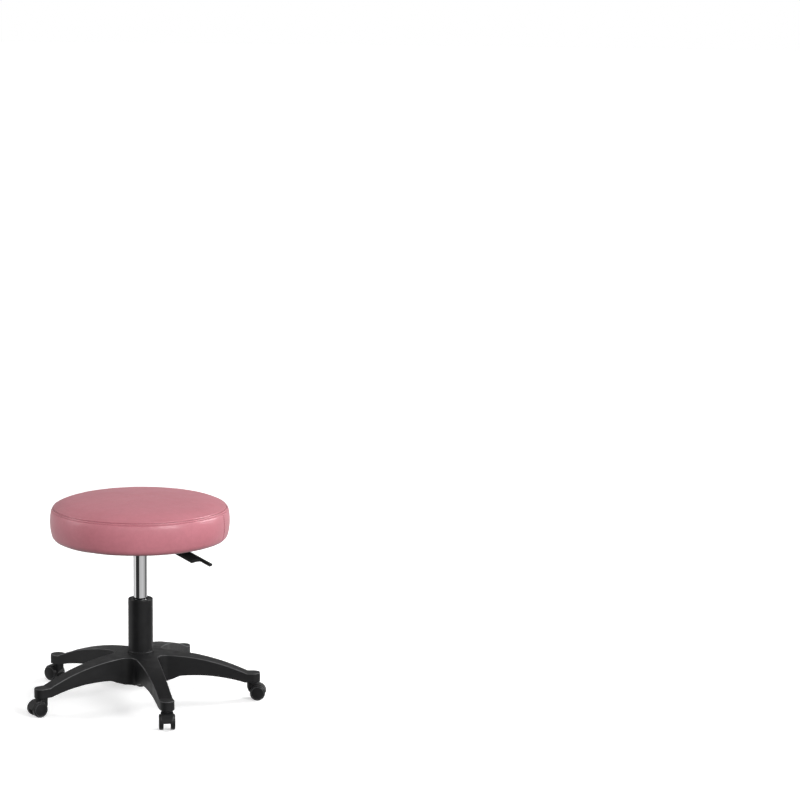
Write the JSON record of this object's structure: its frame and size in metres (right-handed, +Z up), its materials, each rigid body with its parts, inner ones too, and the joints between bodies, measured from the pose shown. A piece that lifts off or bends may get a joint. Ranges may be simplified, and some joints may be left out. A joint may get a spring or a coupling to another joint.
{
  "type": "rolling salon stool",
  "caption": "Low rolling pedicure stool: round padded vinyl seat on a gas lift with a release lever, over a star base with swivelling twin-wheel casters.",
  "frame": {"origin": "on the floor, on the axis of the column", "axes": "+Z up along the column; +X along the first leg; +Y completes a right-handed frame; rest pose at the pictured height"},
  "size_m": [0.4678, 0.4901, 0.4169],
  "materials": {
    "base_nylon": "matte injection-moulded nylon with a fine grain",
    "tube_coating": "satin black powder coat",
    "dark_plastic": "satin moulded plastic",
    "bearing_steel": "ground steel",
    "black_rubber": "matte rubber",
    "spring_steel": "dark spring steel",
    "rod_steel": "ground steel",
    "chrome_plate": "polished chrome",
    "guide_brass": "turned brass",
    "piston_aluminium": "turned aluminium",
    "mechanism_paint": "satin black paint",
    "zinc_steel": "bright zinc plate",
    "plywood": "raw plywood",
    "seat_foam": null,
    "pink_vinyl": "dusty pink upholstery vinyl, soft satin grain",
    "underside_cloth": "thin black spun cloth",
    "caster_nylon": "satin moulded nylon",
    "wheel_nylon": "hard moulded nylon"
  },
  "bodies": {
    "base": {"star_base": "base_nylon", "outer_tube": "tube_coating", "guide_bush": "dark_plastic", "lower_bearing_race": "bearing_steel", "bearing_balls": "bearing_steel", "caster_stems": "rod_steel", "grip_rings": "spring_steel"},
    "lift_rod": {"piston_rod": "rod_steel", "piston": "piston_aluminium", "piston_ring": "black_rubber", "retaining_clip": "spring_steel", "upper_bearing_race": "bearing_steel", "rubber_buffer": "black_rubber"},
    "seat": {"gas_cylinder": "chrome_plate", "cylinder_guide": "guide_brass", "rod_seal": "black_rubber", "valve_block": "piston_aluminium", "mounting_plate": "mechanism_paint", "mechanism_tub": "mechanism_paint", "taper_socket": "mechanism_paint", "lever_pivot_pin": "rod_steel", "bolt_washers": "zinc_steel", "mounting_bolts": "zinc_steel", "t_nuts": "zinc_steel", "seat_board": "plywood", "seat_foam": "seat_foam", "seat_cover": "pink_vinyl", "dust_cover": "underside_cloth", "cover_staples": "zinc_steel"},
    "release": {"release_pin": "rod_steel"},
    "lever": {"lever_arm": "mechanism_paint", "lever_handle": "dark_plastic"},
    "caster_1": {"caster_hood_1": "caster_nylon", "axle_1": "rod_steel"},
    "wheel_left_1_body": {"wheel_left_1": "wheel_nylon"},
    "wheel_right_1_body": {"wheel_right_1": "wheel_nylon"},
    "caster_2": {"caster_hood_2": "caster_nylon", "axle_2": "rod_steel"},
    "wheel_left_2_body": {"wheel_left_2": "wheel_nylon"},
    "wheel_right_2_body": {"wheel_right_2": "wheel_nylon"},
    "caster_3": {"caster_hood_3": "caster_nylon", "axle_3": "rod_steel"},
    "wheel_left_3_body": {"wheel_left_3": "wheel_nylon"},
    "wheel_right_3_body": {"wheel_right_3": "wheel_nylon"},
    "caster_4": {"caster_hood_4": "caster_nylon", "axle_4": "rod_steel"},
    "wheel_left_4_body": {"wheel_left_4": "wheel_nylon"},
    "wheel_right_4_body": {"wheel_right_4": "wheel_nylon"},
    "caster_5": {"caster_hood_5": "caster_nylon", "axle_5": "rod_steel"},
    "wheel_left_5_body": {"wheel_left_5": "wheel_nylon"},
    "wheel_right_5_body": {"wheel_right_5": "wheel_nylon"}
  },
  "joints": [
    {"name": "seat_swivel", "type": "hinge", "parent": "base", "child": "lift_rod", "pos_m": [0, 0, 0], "axis": [0, 0, 1], "continuous": true},
    {"name": "seat_lift", "type": "slide", "parent": "lift_rod", "child": "seat", "axis": [0, 0, 1], "range_m": [-0.085, 0.035]},
    {"name": "lever_lift", "type": "hinge", "parent": "seat", "child": "lever", "pos_m": [0.02001, -0.01325, 0.3259], "axis": [-0.5519, -0.8339, 0], "range_deg": [0, 4.2], "stiffness_Nm_per_rad": 5, "springref_deg": -11.46},
    {"name": "release_press", "type": "slide", "parent": "seat", "child": "release", "axis": [0, 0, -1], "range_m": [0, 0.0018]},
    {"name": "caster_swivel_1", "type": "hinge", "parent": "base", "child": "caster_1", "pos_m": [0.226, 0, 0.03], "axis": [0, 0, 1], "continuous": true},
    {"name": "wheel_left_spin_1", "type": "hinge", "parent": "caster_1", "child": "wheel_left_1_body", "pos_m": [0.2375, 0, 0.0154], "axis": [0, 1, 0], "continuous": true},
    {"name": "wheel_right_spin_1", "type": "hinge", "parent": "caster_1", "child": "wheel_right_1_body", "pos_m": [0.2375, 0, 0.0154], "axis": [0, 1, 0], "continuous": true},
    {"name": "caster_swivel_2", "type": "hinge", "parent": "base", "child": "caster_2", "pos_m": [0.06984, 0.21494, 0.03], "axis": [0, 0, 1], "continuous": true},
    {"name": "wheel_left_spin_2", "type": "hinge", "parent": "caster_2", "child": "wheel_left_2_body", "pos_m": [0.07339, 0.22588, 0.0154], "axis": [-0.9511, 0.309, 0], "continuous": true},
    {"name": "wheel_right_spin_2", "type": "hinge", "parent": "caster_2", "child": "wheel_right_2_body", "pos_m": [0.07339, 0.22588, 0.0154], "axis": [-0.9511, 0.309, 0], "continuous": true},
    {"name": "caster_swivel_3", "type": "hinge", "parent": "base", "child": "caster_3", "pos_m": [-0.18284, 0.13284, 0.03], "axis": [0, 0, 1], "continuous": true},
    {"name": "wheel_left_spin_3", "type": "hinge", "parent": "caster_3", "child": "wheel_left_3_body", "pos_m": [-0.19214, 0.1396, 0.0154], "axis": [-0.5878, -0.809, 0], "continuous": true},
    {"name": "wheel_right_spin_3", "type": "hinge", "parent": "caster_3", "child": "wheel_right_3_body", "pos_m": [-0.19214, 0.1396, 0.0154], "axis": [-0.5878, -0.809, 0], "continuous": true},
    {"name": "caster_swivel_4", "type": "hinge", "parent": "base", "child": "caster_4", "pos_m": [-0.18284, -0.13284, 0.03], "axis": [0, 0, 1], "continuous": true},
    {"name": "wheel_left_spin_4", "type": "hinge", "parent": "caster_4", "child": "wheel_left_4_body", "pos_m": [-0.19214, -0.1396, 0.0154], "axis": [0.5878, -0.809, 0], "continuous": true},
    {"name": "wheel_right_spin_4", "type": "hinge", "parent": "caster_4", "child": "wheel_right_4_body", "pos_m": [-0.19214, -0.1396, 0.0154], "axis": [0.5878, -0.809, 0], "continuous": true},
    {"name": "caster_swivel_5", "type": "hinge", "parent": "base", "child": "caster_5", "pos_m": [0.06984, -0.21494, 0.03], "axis": [0, 0, 1], "continuous": true},
    {"name": "wheel_left_spin_5", "type": "hinge", "parent": "caster_5", "child": "wheel_left_5_body", "pos_m": [0.07104, -0.22638, 0.0154], "axis": [0.9945, 0.1045, 0], "continuous": true},
    {"name": "wheel_right_spin_5", "type": "hinge", "parent": "caster_5", "child": "wheel_right_5_body", "pos_m": [0.07104, -0.22638, 0.0154], "axis": [0.9945, 0.1045, 0], "continuous": true}
  ],
  "couplings": [
    {"joint": "release_press", "follows": "lever_lift", "m_per_rad": 0.024}
  ]
}
